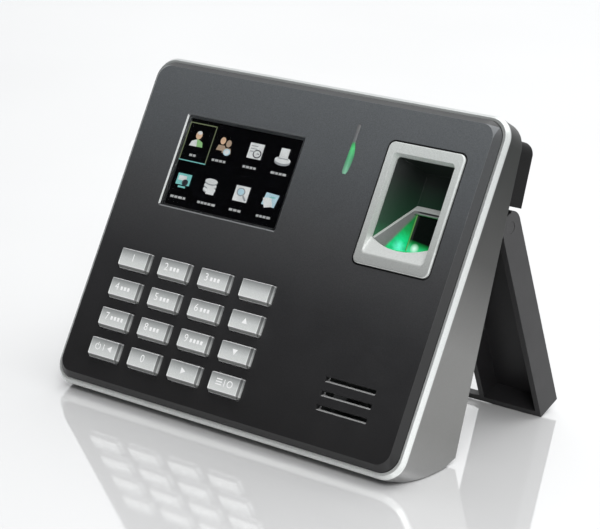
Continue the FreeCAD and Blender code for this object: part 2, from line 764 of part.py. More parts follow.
def stand_frame():
    leg = stand_leg()
    other = leg.mirror(V(0, 0, 0), V(1, 0, 0))
    bar = block(-stand_inner - 1, stand_inner + 1, -leg_front, -leg_front + bar_thick,
                -LEG, -LEG + stand_wall)
    frame = leg.fuse(other).fuse(bar)
    for side in (-1, 1):
        corner = [V(side * stand_inner, -leg_front, -LEG + 1.0),
                  V(side * (stand_inner - gusset), -leg_front, -LEG + stand_wall - 0.2),
                  V(side * stand_inner, -leg_front, -LEG + stand_wall + 0.5)]
        frame = frame.fuse(Part.Face(Part.makePolygon(corner + corner[:1])).extrude(V(0, bar_thick, 0)))
    return place_stand(frame.removeSplitter())


def stand_foot_pads():
    solids = []
    for x0 in (-pad_x1, pad_x0):
        front, rear = -leg_front + pad_front, -leg_front + pad_rear
        outline = [V(x0, front, -LEG), V(x0, rear, -LEG)]
        for p in (rear, front):
            down = (CORNER_CLEAR + (p + leg_front) * math.sin(FOOT_TILT)) / math.cos(FOOT_TILT)
            outline.append(V(x0, p, -LEG - down))
        solids.append(Part.Face(Part.makePolygon(outline + outline[:1])).extrude(V(pad_x1 - pad_x0, 0, 0)))
    return place_stand(Part.makeCompound(solids))


def hinge_pins():
    outer = stand_half_width
    pin = cylinder_x(stand_inner + 0.2, outer - pin_head_length, pin_radius, 0, 0)
    pin = pin.fuse(cylinder_x(outer - pin_head_length, outer - 0.1, pin_head_radius, 0, 0)).removeSplitter()
    other = pin.mirror(V(0, 0, 0), V(1, 0, 0))
    return place_stand(Part.makeCompound([pin, other]))


def hinge_brackets():
    """Steel knuckles on the rear cover that the pins turn in."""
    n_axis = hinge_y * math.cos(BETA) + hinge_z * math.sin(BETA)
    m_axis = -hinge_y * math.sin(BETA) + hinge_z * math.cos(BETA)
    x0 = stand_inner + stand_wall + knuckle_gap
    x1 = stand_half_width - stand_wall - knuckle_gap
    plate_x1 = case_width / 2 - cover_inset - 0.3
    plate = back_block(x0, plate_x1, back_n, back_n + 1.2, m_axis - 8.0, m_axis + 6.0)
    web = back_block(x0, plate_x1, back_n, n_axis, m_axis - 3.0, m_axis + 3.0)
    knuckle = cylinder_x(x0, x1, knuckle_radius, hinge_y, hinge_z)
    hole = cylinder_x(x0 - 1, x1 + 1, pin_radius + pin_clear, hinge_y, hinge_z)
    under = back_block(x0 - 1, x1 + 1, back_n - 10, back_n, m_axis - 20, m_axis + 20)
    bracket = plate.fuse(web).fuse(knuckle).cut(under).cut(hole).removeSplitter()
    return Part.makeCompound([bracket, bracket.mirror(V(0, 0, 0), V(1, 0, 0))])


# ---------- assembly ----------

shapes["front_panel"] = front_panel()
shapes["housing_frame"] = housing_frame()
shapes["rear_cover"] = rear_cover()
shapes["display_lens"] = display_lens()
shapes["lcd_panel"] = lcd_panel()
shapes["lcd_frame"] = lcd_frame()
shapes["light_pipe"] = light_pipe()
shapes["status_led"] = status_led()
shapes["speaker_grille"] = speaker_grille()
shapes["speaker"] = speaker()
shapes["fingerprint_bezel"] = fingerprint_bezel()
shapes["sensor_body"] = sensor_body()
shapes["finger_cradle"] = finger_cradle()
shapes["sensor_glass"] = sensor_glass()
shapes["sensor_board"] = sensor_board()
shapes["keypad_mat"] = keypad_mat()
shapes["keypad_board"] = keypad_board()
shapes["main_board"] = main_board()
shapes["board_chips"] = board_chips()
shapes["usb_socket"] = usb_socket()
shapes["power_jack"] = power_jack()
shapes["coin_cell"] = coin_cell()
shapes["coin_cell_holder"] = coin_cell_holder()
shapes["keypad_ribbon"] = keypad_ribbon()
shapes["display_ribbon"] = display_ribbon()
shapes["sensor_ribbon"] = sensor_ribbon()
shapes["housing_screws"] = housing_screws()
shapes["board_screws"] = board_screws()
shapes["rubber_feet"] = rubber_feet()
shapes["stand_frame"] = stand_frame()
shapes["stand_foot_pads"] = stand_foot_pads()
shapes["hinge_pins"] = hinge_pins()
shapes["hinge_brackets"] = hinge_brackets()

KEY_NAMES = ["key_1", "key_2", "key_3", "key_back", "key_4", "key_5", "key_6", "key_up",
             "key_7", "key_8", "key_9", "key_down", "key_left", "key_0", "key_right", "key_enter"]
for name, place in zip(KEY_NAMES, key_places()):
    shapes[name] = key_solid(place[0], place[1])

for name in shapes:
    turn_x(shapes[name], -lean_angle)

whole = Part.makeCompound(list(shapes.values())).optimalBoundingBox()
shift = V(-(whole.XMin + whole.XMax) / 2, -(whole.YMin + whole.YMax) / 2, -floor_g)
os.makedirs("parts", exist_ok=True)
for name, shape in shapes.items():
    shape.translate(shift)
    shape.exportStep("parts/" + name + ".step")

box = Part.makeCompound(list(shapes.values())).optimalBoundingBox()
print("size", round(box.XLength, 2), round(box.YLength, 2), round(box.ZLength, 2))
print("bottom", round(box.ZMin, 3))
print("hinge at y", hinge_y * math.cos(THETA) + hinge_z * math.sin(THETA) + shift.y,
      "z", -hinge_y * math.sin(THETA) + hinge_z * math.cos(THETA) + shift.z)
print("shift", shift, "leg length", LEG)
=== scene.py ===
import json
import math
import random

import bmesh
import bpy
from mathutils import Matrix, Vector


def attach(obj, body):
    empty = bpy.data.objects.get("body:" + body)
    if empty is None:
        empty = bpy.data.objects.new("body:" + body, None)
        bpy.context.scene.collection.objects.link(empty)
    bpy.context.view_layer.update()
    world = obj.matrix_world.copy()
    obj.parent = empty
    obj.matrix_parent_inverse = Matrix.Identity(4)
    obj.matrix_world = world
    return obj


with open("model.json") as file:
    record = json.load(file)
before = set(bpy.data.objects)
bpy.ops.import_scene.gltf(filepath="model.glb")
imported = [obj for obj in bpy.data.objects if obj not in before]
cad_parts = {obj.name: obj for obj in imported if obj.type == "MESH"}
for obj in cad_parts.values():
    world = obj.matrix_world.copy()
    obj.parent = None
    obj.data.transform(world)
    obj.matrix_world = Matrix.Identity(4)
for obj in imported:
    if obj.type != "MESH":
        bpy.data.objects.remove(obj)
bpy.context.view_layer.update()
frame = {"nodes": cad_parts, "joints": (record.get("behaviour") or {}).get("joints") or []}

# The face's own axes: right along X, into the case along the keys' travel, and up the face.
KEY_JOINT = [joint for joint in frame["joints"] if joint["name"] == "key_1_press"][0]
INTO = Vector(KEY_JOINT["axis"]).normalized()
RIGHT = Vector((1, 0, 0))
UP = RIGHT.cross(INTO).normalized()
MM = 0.001


# ---------- places on the face ----------

def face_box(node):
    """Lowest and highest (right, into, up) of a node."""
    points = [vertex.co for vertex in frame["nodes"][node].data.vertices]
    lows, highs = [], []
    for axis in (RIGHT, INTO, UP):
        values = [point.dot(axis) for point in points]
        lows.append(min(values))
        highs.append(max(values))
    return lows, highs


def face_point(right, into, up):
    return RIGHT * right + INTO * into + UP * up


# ---------- camera, floor and lights ----------

def camera():
    """Long lens, a little above and to the right of the terminal."""
    azimuth, elevation, roll = math.radians(38.74), math.radians(17.34), math.radians(0.37)
    distance = 0.9181
    aim = Vector((0.0003, -0.0021, 0.0601))
    forward = Vector((-math.sin(azimuth) * math.cos(elevation), math.cos(azimuth) * math.cos(elevation),
                      -math.sin(elevation)))
    side = forward.cross(Vector((0, 0, 1))).normalized()
    above = side.cross(forward)
    turned_side = side * math.cos(roll) + above * math.sin(roll)
    turned_above = turned_side.cross(forward)
    data = bpy.data.cameras.new("camera")
    data.lens = 132.0
    data.sensor_width = 36.0
    data.clip_start = 0.01
    data.clip_end = 50.0
    obj = bpy.data.objects.new("camera", data)
    obj.matrix_world = Matrix.Translation(aim - forward * distance) @ Matrix(
        (turned_side, turned_above, -forward)).transposed().to_4x4()
    bpy.context.collection.objects.link(obj)
    bpy.context.scene.camera = obj


def area_light(name, place, target, width, height, power):
    data = bpy.data.lights.new(name, "AREA")
    data.shape = "RECTANGLE"
    data.size = width
    data.size_y = height
    data.energy = power
    obj = bpy.data.objects.new(name, data)
    obj.location = place
    obj.rotation_euler = (Vector(target) - Vector(place)).to_track_quat("-Z", "Y").to_euler()
    bpy.context.collection.objects.link(obj)


def pale_sky():
    """Pale all round, but dark high to the front left, so that the glossy front stays black."""
    world = bpy.data.worlds.new("studio")
    world.use_nodes = True
    tree = world.node_tree
    background = tree.nodes["Background"]
    background.inputs["Strength"].default_value = 1.15
    dark_side = Vector((-0.60, -0.66, 0.45)).normalized()
    outlook = tree.nodes.new("ShaderNodeTexCoord").outputs["Generated"]
    sky = stops(tree, vector_step(tree, "DOT_PRODUCT", outlook, dark_side),
                [(0.0, (0.98, 0.99, 1.0)), (0.2, (0.74, 0.75, 0.76)), (0.62, (0.64, 0.65, 0.66)),
                 (0.84, (0.014, 0.014, 0.016))])
    tree.links.new(sky, background.inputs["Color"])
    return world


def studio():
    scene = bpy.context.scene
    scene.view_settings.view_transform = "Standard"
    scene.view_settings.look = "None"
    scene.world = pale_sky()
    area_light("top_light", (0.1, 0.6, 1.6), (0.0, 0.1, 0.0), 2.2, 1.6, 20)
    area_light("front_light", (0.75, -0.75, 1.1), (0.05, 0.0, 0.1), 0.5, 0.5, 9)
    bpy.ops.mesh.primitive_plane_add(size=14, location=(0, 2.0, 0))
    floor = bpy.context.object
    floor.name = "floor"
    floor.data.materials.append(floor_material())


# ---------- materials ----------

def new_material(name, base, roughness, metallic=0.0, specular=0.5):
    material = bpy.data.materials.new(name)
    material.use_nodes = True
    shader = material.node_tree.nodes["Principled BSDF"]
    shader.inputs["Base Color"].default_value = (*base, 1)
    shader.inputs["Roughness"].default_value = roughness
    shader.inputs["Metallic"].default_value = metallic
    shader.inputs["Specular IOR Level"].default_value = specular
    material.diffuse_color = (*base, 1)
    return material, material.node_tree, shader


def place_on_object(tree):
    """The point's place in the shared frame, because every piece has its origin there."""
    return tree.nodes.new("ShaderNodeTexCoord").outputs["Object"]


def vector_step(tree, operation, vector, operand=None):
    """One vector operation: its number for a dot product, a distance or a length, else its vector."""
    step = tree.nodes.new("ShaderNodeVectorMath")
    step.operation = operation
    if operand is not None:
        step.inputs[1].default_value = operand
    tree.links.new(vector, step.inputs[0])
    return step.outputs["Value" if operation in ("DOT_PRODUCT", "DISTANCE", "LENGTH") else "Vector"]


def noise(tree, scale, detail=2.0):
    """Cloudy values from 0 to 1, most of them between 0.35 and 0.65."""
    texture = tree.nodes.new("ShaderNodeTexNoise")
    texture.inputs["Scale"].default_value = scale
    texture.inputs["Detail"].default_value = detail
    tree.links.new(place_on_object(tree), texture.inputs["Vector"])
    return texture.outputs["Fac"]


def vary_colour(tree, shader, factor, dark, light):
    tree.links.new(stops(tree, factor, [(0.35, dark), (0.65, light)]), shader.inputs["Base Color"])


def vary_roughness(tree, shader, factor, low, high):
    tree.links.new(map_range(tree, factor, 0.3, 0.7, low, high), shader.inputs["Roughness"])


def surface(tree, shader, height, strength, depth, edge):
    """Grain as a bump over slightly rounded edges."""
    rounded = tree.nodes.new("ShaderNodeBevel")
    rounded.samples = 4
    rounded.inputs["Radius"].default_value = edge
    bump = tree.nodes.new("ShaderNodeBump")
    bump.inputs["Strength"].default_value = strength
    bump.inputs["Distance"].default_value = depth
    tree.links.new(height, bump.inputs["Height"])
    tree.links.new(rounded.outputs["Normal"], bump.inputs["Normal"])
    tree.links.new(bump.outputs["Normal"], shader.inputs["Normal"])


def along(tree, direction, start, end):
    """0 to 1 as the position moves along a direction between two distances."""
    reached = vector_step(tree, "DOT_PRODUCT", place_on_object(tree), direction)
    return map_range(tree, reached, start, end, 0.0, 1.0)


def near(tree, point, inner, outer):
    """1 within inner of a point, fading to 0 at outer."""
    gap = vector_step(tree, "DISTANCE", place_on_object(tree), point)
    return map_range(tree, gap, inner, outer, 1.0, 0.0)


def in_rounded_box(tree, lows, highs, margin, radius):
    """1 inside a rounded rectangle on the face that is larger than a node's box by margin, else 0."""
    spot = tree.nodes.new("ShaderNodeCombineXYZ")
    for axis, name in ((RIGHT, "X"), (UP, "Z")):
        tree.links.new(vector_step(tree, "DOT_PRODUCT", place_on_object(tree), axis), spot.inputs[name])
    middle = [(lows[0] + highs[0]) / 2, 0, (lows[2] + highs[2]) / 2]
    straight = [(highs[0] - lows[0]) / 2 + margin - radius, 0, (highs[2] - lows[2]) / 2 + margin - radius]
    value = spot.outputs["Vector"]
    for operation, operand in (("SUBTRACT", middle), ("ABSOLUTE", None), ("SUBTRACT", straight),
                               ("MAXIMUM", (0, 0, 0)), ("LENGTH", None)):
        value = vector_step(tree, operation, value, operand)
    blur = 0.1 * MM
    return map_range(tree, value, radius - blur, radius, 1.0, 0.0)


def map_range(tree, value, start, end, low, high):
    spread = tree.nodes.new("ShaderNodeMapRange")
    for name, number in (("From Min", start), ("From Max", end), ("To Min", low), ("To Max", high)):
        spread.inputs[name].default_value = number
    tree.links.new(value, spread.inputs["Value"])
    return spread.outputs["Result"]


def product(tree, one, other):
    times = tree.nodes.new("ShaderNodeMath")
    times.operation = "MULTIPLY"
    tree.links.new(one, times.inputs[0])
    tree.links.new(other, times.inputs[1])
    return times.outputs[0]


def stops(tree, factor, places):
    """Colour ramp; each place is (position, colour)."""
    ramp = tree.nodes.new("ShaderNodeValToRGB")
    elements = ramp.color_ramp.elements
    while len(elements) < len(places):
        elements.new(0.5)
    for element, (position, colour) in zip(elements, places):
        element.position = position
        element.color = (*grey(colour), 1)
    tree.links.new(factor, ramp.inputs["Fac"])
    return ramp.outputs["Color"]


def grey(colour):
    return (colour, colour, colour) if isinstance(colour, float) else colour


def blended(tree, factor, one, other, mode="MIX"):
    """Colour mix; factor, one and other are sockets or plain values."""
    mixer = tree.nodes.new("ShaderNodeMix")
    mixer.data_type = "RGBA"
    mixer.blend_type = mode
    for index, value in ((0, factor), (6, one), (7, other)):
        if isinstance(value, bpy.types.NodeSocket):
            tree.links.new(value, mixer.inputs[index])
        elif index == 0:
            mixer.inputs[0].default_value = value
        else:
            mixer.inputs[index].default_value = (*grey(value), 1)
    return mixer.outputs[2]


def finish_surface(tree, shader, colour, grain, strength, spread, roughness, edge):
    """Multiplies a colour by grain, varies the gloss and adds the grain's bump."""
    fine = noise(tree, grain, 3.0)
    speckle = stops(tree, fine, [(0.35, 1.0 - spread), (0.65, 1.0)])
    tree.links.new(blended(tree, 1.0, colour, speckle, "MULTIPLY"), shader.inputs["Base Color"])
    vary_roughness(tree, shader, noise(tree, 80.0, 2.0), roughness - 0.03, roughness + 0.04)
    surface(tree, shader, fine, strength, 0.02 * MM, edge)


def black_plastic(name, base, roughness, grain, strength, edge=0.3 * MM, specular=0.5):
    """Moulded plastic: spark-eroded grain, faint mottling, slightly uneven gloss."""
    material, tree, shader = new_material(name, base, roughness, 0.0, specular)
    fine = noise(tree, grain, 3.0)
    broad = noise(tree, 90.0, 2.0)
    vary_colour(tree, shader, fine, [c * 0.8 for c in base], [c * 1.25 for c in base])
    vary_roughness(tree, shader, broad, roughness - 0.04, roughness + 0.04)
    surface(tree, shader, fine, strength, 0.03 * MM, edge)
    return material


def panel_black():
    """Satin black front with a painted sheen that pales it towards the top, painted shade on two dark bevel
    bands, and a black line of painted shade in the joint round the bezel.
    """
    material, tree, shader = new_material("panel_black", (0.03, 0.03, 0.03), 0.4)
    lows, highs = face_box("front_panel")
    # Painted sheen: the colour pales towards the upper right, where the light's reflection falls.
    climb = along(tree, (UP + RIGHT * 0.06).normalized(), lows[2], highs[2])
    colour = stops(tree, climb, [(0.05, (0.0180, 0.0175, 0.0180)), (0.38, (0.029, 0.029, 0.0305)),
                                 (0.58, (0.061, 0.062, 0.064)), (0.78, (0.095, 0.101, 0.107)),
                                 (1.0, (0.130, 0.139, 0.146))])
    # Painted shade: the right and top bevel bands are darkened in the colour.
    bevel_inner, bevel_outer = 2.45 * MM, 2.25 * MM
    right_bevel_shade = along(tree, RIGHT, highs[0] - bevel_inner, highs[0] - bevel_outer)
    top_bevel_shade = along(tree, UP, highs[2] - bevel_inner, highs[2] - bevel_outer)
    bevel_shade = blended(tree, 1.0, stops(tree, right_bevel_shade, [(0.0, 1.0), (1.0, 0.3)]),
                     stops(tree, top_bevel_shade, [(0.0, 1.0), (1.0, 0.14)]), "DARKEN")
    colour = blended(tree, 1.0, colour, bevel_shade, "MULTIPLY")
    # Painted shade: a black line round the bezel stands in for the shade in the joint between bezel and panel.
    gap_shade_width, gap_shade_corner = 0.8 * MM, 3.4 * MM
    joint = in_rounded_box(tree, *face_box("fingerprint_bezel"), gap_shade_width, gap_shade_corner)
    colour = blended(tree, joint, colour, (0.001, 0.001, 0.001))
    finish_surface(tree, shader, colour, 2600.0, 0.3, 0.3, 0.4, 0.15 * MM)
    return material


def case_silver():
    """Silver lacquer with painted shade, darker towards the top of the side panels, and a painted pale
    highlight on the lip round the panel.
    """
    material, tree, shader = new_material("case_silver", (0.4, 0.4, 0.4), 0.34, 0.55)
    lows, highs = face_box("housing_frame")
    climb = along(tree, UP, lows[2], highs[2])
    # Painted shade and reflection: the side panels are pale low down and darken towards the top.
    body = stops(tree, climb, [(0.0, (0.34, 0.34, 0.34)), (0.07, (0.26, 0.26, 0.255)),
                               (0.16, (0.22, 0.22, 0.213)), (0.38, (0.21, 0.21, 0.204)),
                               (0.62, (0.062, 0.062, 0.060)), (0.85, (0.017, 0.019, 0.017)),
                               (1.0, (0.010, 0.012, 0.010))])
    # Painted highlight on the lip round the panel.
    rim_highlight = stops(tree, climb, [(0.0, (0.88, 0.90, 0.88)), (0.35, (0.72, 0.74, 0.73)),
                              (0.9, (0.56, 0.58, 0.57))])
    behind = along(tree, INTO, lows[1] + 1.9 * MM, lows[1] + 2.5 * MM)
    finish_surface(tree, shader, blended(tree, behind, rim_highlight, body), 5000.0, 0.1, 0.18, 0.34, 0.2 * MM)
    return material


def key_silver(name, lows, highs):
    """Silver lacquered key with painted light: pale below and dark above, with painted pale highlights on its
    crisp edges and painted shade on two darker bevel faces.
    """
    material, tree, shader = new_material(name, (0.6, 0.6, 0.6), 0.32, 0.08)
    climb = along(tree, UP, lows[2], highs[2])
    # Painted light and shade up the key: a pale foot, painted shade on the lower bevel, painted highlight
    # lines at the face's edges, and a face paling below and darkening above.
    colour = stops(tree, climb, [(0.0, 0.8), (0.090, 0.8), (0.105, (0.18, 0.185, 0.18)),
                                 (0.185, (0.24, 0.25, 0.24)), (0.200, 0.95), (0.225, 0.95),
                                 (0.25, (0.82, 0.84, 0.82)), (0.5, (0.72, 0.74, 0.73)),
                                 (0.86, (0.28, 0.29, 0.29)), (0.880, 0.85), (0.91, 0.85)])
    across = along(tree, RIGHT, lows[0], highs[0])
    # Painted highlights along the left and right edges, and painted shade on the right bevel.
    side_light_and_shade = stops(tree, across, [(0.0, 1.3), (0.082, 1.3), (0.1, 1.0), (0.895, 1.0), (0.900, 1.35),
                                 (0.905, 1.35), (0.915, 0.26), (0.938, 0.26), (0.943, 0.75), (1.0, 0.6)])
    colour = blended(tree, 1.0, colour, side_light_and_shade, "MULTIPLY")
    finish_surface(tree, shader, colour, 5000.0, 0.15, 0.22, 0.32, 0.05 * MM)
    return material


def trim_silver():
    """Silver bezel, paler towards its top, with a painted highlight in the hollow for the finger at its lower
    end.
    """
    material, tree, shader = new_material("trim_silver", (0.6, 0.6, 0.6), 0.36, 0.1)
    lows, highs = face_box("fingerprint_bezel")
    climb = along(tree, UP, lows[2], highs[2])
    colour = stops(tree, climb, [(0.0, (0.40, 0.41, 0.40)), (0.2, (0.50, 0.52, 0.50)),
                                 (1.0, (0.70, 0.73, 0.71))])
    # Painted highlight: the finger hollow low on the bezel is paled.
    scoop_highlight = product(tree, along(tree, INTO, lows[1] + 0.12 * MM, lows[1] + 0.3 * MM),
                    along(tree, UP, lows[2] + 13 * MM, lows[2] + 10.5 * MM))
    colour = blended(tree, scoop_highlight, colour, (0.72, 0.74, 0.72))
    finish_surface(tree, shader, colour, 4500.0, 0.12, 0.26, 0.36, 0.1 * MM)
    return material


def cradle_silver():
    """Silver guide with painted green light beside the lit glass, painted highlights on its rims and a painted
    dark reflection between its two upper rims.
    """
    material, tree, shader = new_material("cradle_silver", (0.5, 0.5, 0.5), 0.34, 0.2)
    lows, highs = face_box("sensor_glass")
    lip_lows, lip_highs = face_box("finger_cradle")
    climb = along(tree, UP, highs[2], lip_highs[2])
    # Painted highlights on the glass's top rim and on the ridge's back edge, with a painted dark reflection on
    # the ridge between them.
    colour = stops(tree, climb, [(0.0, (0.24, 0.25, 0.245)), (0.04, 0.42), (0.14, 0.42), (0.22, 0.02),
                                 (0.72, 0.02), (0.80, 0.30), (1.0, 0.38)])
    sideways = along(tree, RIGHT, lows[0] + 0.6 * MM, lows[0] + 2.2 * MM)
    base = blended(tree, sideways, (0.25, 0.245, 0.25), colour)
    # The sloping lip below the glass has a painted highlight along its front.
    lip_start = face_point(0, lip_lows[1], lows[2] + 0.9 * MM)
    lip_end = face_point(0, lip_highs[1], lip_highs[2])
    square = RIGHT.cross(lip_end - lip_start).normalized()
    square = square if square.dot(UP) > 0 else -square
    lip_height = square.dot(lip_start)
    lip = along(tree, square, lip_height - 0.32 * MM, lip_height - 0.22 * MM)
    base = blended(tree, lip, base, (0.62, 0.64, 0.62))
    # The painted green light ends at a slanted fold on the right and at the glass's top.
    fold = RIGHT - UP * 0.276
    fold_place = fold.dot(face_point(lows[0], 0, highs[2]))
    lit = product(tree, along(tree, fold, fold_place - 0.4 * MM, fold_place + 0.2 * MM),
                  along(tree, UP, highs[2] + 0.5 * MM, highs[2] - 0.5 * MM))
    # Painted green light in the base colour.
    base = blended(tree, lit, base, (0.02, 0.12, 0.05))
    finish_surface(tree, shader, base, 5000.0, 0.12, 0.25, 0.34, 0.1 * MM)
    # Painted green light: emission fading with distance from the sensor's lamp.
    lamp = face_point(lows[0] - 1.8 * MM, lows[1] - 3 * MM, lows[2] + 0.5 * MM)
    bright = near(tree, lamp, 0.5 * MM, 11 * MM)
    glow = stops(tree, bright, [(0.0, (0.0, 0.14, 0.02)), (0.4, (0.0, 0.34, 0.07)),
                                (0.75, (0.0, 0.62, 0.22)), (1.0, (0.12, 0.95, 0.62))])
    patchy = stops(tree, noise(tree, 420.0, 2.0), [(0.35, 0.7), (0.65, 1.0)])
    tree.links.new(blended(tree, 1.0, glow, patchy, "MULTIPLY"), shader.inputs["Emission Color"])
    tree.links.new(lit, shader.inputs["Emission Strength"])
    return material


def sensor_black():
    """Black recess with painted green light low down."""
    material, tree, shader = new_material("sensor_black", (0.012, 0.014, 0.013), 0.34)
    lows, highs = face_box("finger_cradle")
    climb = along(tree, UP, lows[2] + 6 * MM, highs[2] + 10 * MM)
    # Painted green light: colour and emission turn green low down.
    colour = stops(tree, climb, [(0.0, (0.006, 0.11, 0.035)), (0.3, (0.006, 0.035, 0.016)),
                                 (1.0, (0.004, 0.006, 0.005))])
    finish_surface(tree, shader, colour, 2600.0, 0.2, 0.25, 0.34, 0.2 * MM)
    tree.links.new(colour, shader.inputs["Emission Color"])
    shader.inputs["Emission Strength"].default_value = 0.35
    return material


def glass_green():
    """Dark glass with painted green light along its lower and left edges, and a painted glow of a lamp showing
    through near the bottom.
    """
    material, tree, shader = new_material("glass_green", (0.004, 0.006, 0.005), 0.08)
    vary_roughness(tree, shader, noise(tree, 120.0, 3.0), 0.05, 0.12)
    lows, highs = face_box("sensor_glass")
    tilted = (UP + RIGHT * 0.12).normalized()
    bottom = tilted.dot(face_point(*lows))
    # Painted green light: emission strongest low down and at the left edge, with a bright spot for the lamp.
    climb = along(tree, tilted, bottom, bottom + 5.2 * MM)
    glow = stops(tree, climb, [(0.0, (0.06, 0.72, 0.32)), (0.45, (0.02, 0.50, 0.16)),
                               (0.75, (0.005, 0.20, 0.04)), (1.0, (0.0, 0.0, 0.0))])
    edge = along(tree, RIGHT, lows[0] + 0.7 * MM, lows[0] + 0.2 * MM)
    glow = blended(tree, edge, glow, (0.12, 0.36, 0.08))
    lamp = near(tree, face_point(lows[0] + 3.8 * MM, lows[1], lows[2] + 1.6 * MM), 0.3 * MM, 2.2 * MM)
    glow = blended(tree, lamp, glow, (0.65, 1.0, 0.82))
    tree.links.new(glow, shader.inputs["Emission Color"])
    shader.inputs["Emission Strength"].default_value = 1.0
    return material


def pipe_glow():
    """Frosted light guide, lit green in its lower part."""
    material, tree, shader = new_material("pipe_glow", (0.25, 0.26, 0.27), 0.35)
    lows, highs = face_box("light_pipe")
    climb = along(tree, UP, lows[2] + 1.2 * MM, highs[2] - 1.2 * MM)
    base = stops(tree, climb, [(0.0, (0.16, 0.30, 0.22)), (0.6, (0.05, 0.26, 0.10)),
                               (0.66, (0.20, 0.205, 0.215)), (1.0, 0.2)])
    glow = stops(tree, climb, [(0.0, (0.10, 0.24, 0.16)), (0.3, (0.03, 0.20, 0.09)),
                               (0.52, (0.05, 0.40, 0.12)), (0.6, (0.02, 0.20, 0.05)),
                               (0.66, (0.0, 0.0, 0.0))])
    across = stops(tree, along(tree, RIGHT, lows[0] + 0.2 * MM, highs[0] - 0.2 * MM),
                   [(0.0, 0.3), (0.3, 0.75), (0.5, 1.0), (0.7, 0.75), (1.0, 0.3)])
    base = blended(tree, 1.0, base, across, "MULTIPLY")
    finish_surface(tree, shader, base, 900.0, 0.1, 0.15, 0.35, 0.2 * MM)
    tree.links.new(blended(tree, 1.0, glow, across, "MULTIPLY"), shader.inputs["Emission Color"])
    shader.inputs["Emission Strength"].default_value = 1.0
    return material


def metal(name, base, roughness):
    material, tree, shader = new_material(name, base, roughness, 1.0)
    grain = noise(tree, 1500.0, 3.0)
    vary_colour(tree, shader, grain, [c * 0.85 for c in base], base)
    vary_roughness(tree, shader, grain, roughness - 0.06, roughness + 0.08)
    surface(tree, shader, grain, 0.1, 0.01 * MM, 0.1 * MM)
    return material


def clear(name, base, roughness):
    material, tree, shader = new_material(name, base, roughness)
    shader.inputs["Transmission Weight"].default_value = 1.0
    shader.inputs["IOR"].default_value = 1.45
    smears = noise(tree, 70.0, 3.0)
    vary_roughness(tree, shader, smears, max(0.0, roughness - 0.01), roughness + 0.02)
    return material


def glowing(name, colour, strength, grain=400.0, dip=0.75):
    """Lit surface, with the slight unevenness of a diffused lamp."""
    material, tree, shader = new_material(name, (0.02, 0.02, 0.02), 0.4)
    shader.inputs["Emission Strength"].default_value = strength
    patches = stops(tree, noise(tree, grain, 2.0), [(0.3, tuple(c * dip for c in colour)), (0.7, colour)])
    tree.links.new(patches, shader.inputs["Emission Color"])
    return material


def floor_material():
    material, tree, shader = new_material("floor_white", (0.67, 0.67, 0.67), 0.05)
    shader.inputs["IOR"].default_value = 3.0
    broad = noise(tree, 3.0, 2.0)
    vary_colour(tree, shader, broad, (0.65, 0.65, 0.65), (0.68, 0.68, 0.68))
    vary_roughness(tree, shader, broad, 0.04, 0.06)
    return material


def dress_nodes():
    """Gives every CAD node its finished material."""
    cover = black_plastic("cover_black", (0.008, 0.008, 0.008), 0.45, 2200.0, 0.3, specular=0.05)
    stand = black_plastic("stand_black", (0.015, 0.0145, 0.0155), 0.42, 2200.0, 0.3)
    steel = metal("plated_steel", (0.62, 0.62, 0.6), 0.28)
    dark_steel = metal("dark_steel", (0.05, 0.05, 0.05), 0.4)
    rubber = black_plastic("foot_rubber", (0.018, 0.018, 0.018), 0.75, 1500.0, 0.5)
    inner = black_plastic("inner_black", (0.012, 0.014, 0.013), 0.3, 2600.0, 0.2)
    board = black_plastic("board_green", (0.01, 0.09, 0.03), 0.35, 700.0, 0.2)
    film = black_plastic("lead_film", (0.35, 0.2, 0.06), 0.3, 900.0, 0.1)
    looks = {
        "front_panel": panel_black(), "rear_cover": cover, "stand_frame": stand,
        "housing_frame": case_silver(), "fingerprint_bezel": trim_silver(),
        "finger_cradle": cradle_silver(), "sensor_body": sensor_black(),
        "display_lens": clear("lens_clear", (0.97, 0.98, 0.98), 0.02),
        "lcd_panel": black_plastic("lcd_black", (0.002, 0.002, 0.003), 0.3, 1200.0, 0.02, specular=0.03),
        "lcd_frame": steel, "light_pipe": pipe_glow(),
        "status_led": glowing("led_green", (0.1, 1.0, 0.3), 2.0), "speaker": inner,
        "speaker_grille": black_plastic("grille_grey", (0.36, 0.36, 0.36), 0.35, 3000.0, 0.15),
        "sensor_glass": glass_green(),
        "sensor_board": board, "keypad_mat": rubber, "keypad_board": board, "main_board": board,
        "board_chips": inner, "usb_socket": steel, "power_jack": inner, "coin_cell": steel,
        "coin_cell_holder": inner, "keypad_ribbon": film, "display_ribbon": film, "sensor_ribbon": film,
        "housing_screws": dark_steel, "board_screws": steel, "rubber_feet": rubber,
        "stand_foot_pads": rubber, "hinge_pins": stand, "hinge_brackets": steel,
    }
    for node, obj in frame["nodes"].items():
        material = looks.get(node)
        if node.startswith("key_"):
            material = key_silver("silver_" + node, *face_box(node))
        for material_slot in obj.material_slots:
            material_slot.material = material
        if not obj.material_slots:
            obj.data.materials.append(material)


# ---------- marks on the keys and pictures on the screen ----------

def add_piece(name, mesh, material, body):
    mesh.materials.append(material)
    piece = bpy.data.objects.new(name, mesh)
    bpy.context.collection.objects.link(piece)
    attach(piece, body)


def flat_mesh(name, outlines, into, thick):
    """Thin flat shapes; each outline is a list of (right, up)."""
    mesh = bpy.data.meshes.new(name)
    form = bmesh.new()
    for outline in outlines:
        front = [form.verts.new(face_point(right, into, up)) for right, up in outline]
        back = [form.verts.new(face_point(right, into + thick, up)) for right, up in outline]
        form.faces.new(front)
        form.faces.new(back[::-1])
        for index in range(len(front)):
            following = (index + 1) % len(front)
            form.faces.new((front[index], back[index], back[following], front[following]))
    bmesh.ops.recalc_face_normals(form, faces=form.faces)
    form.to_mesh(mesh)
    form.free()
    return mesh


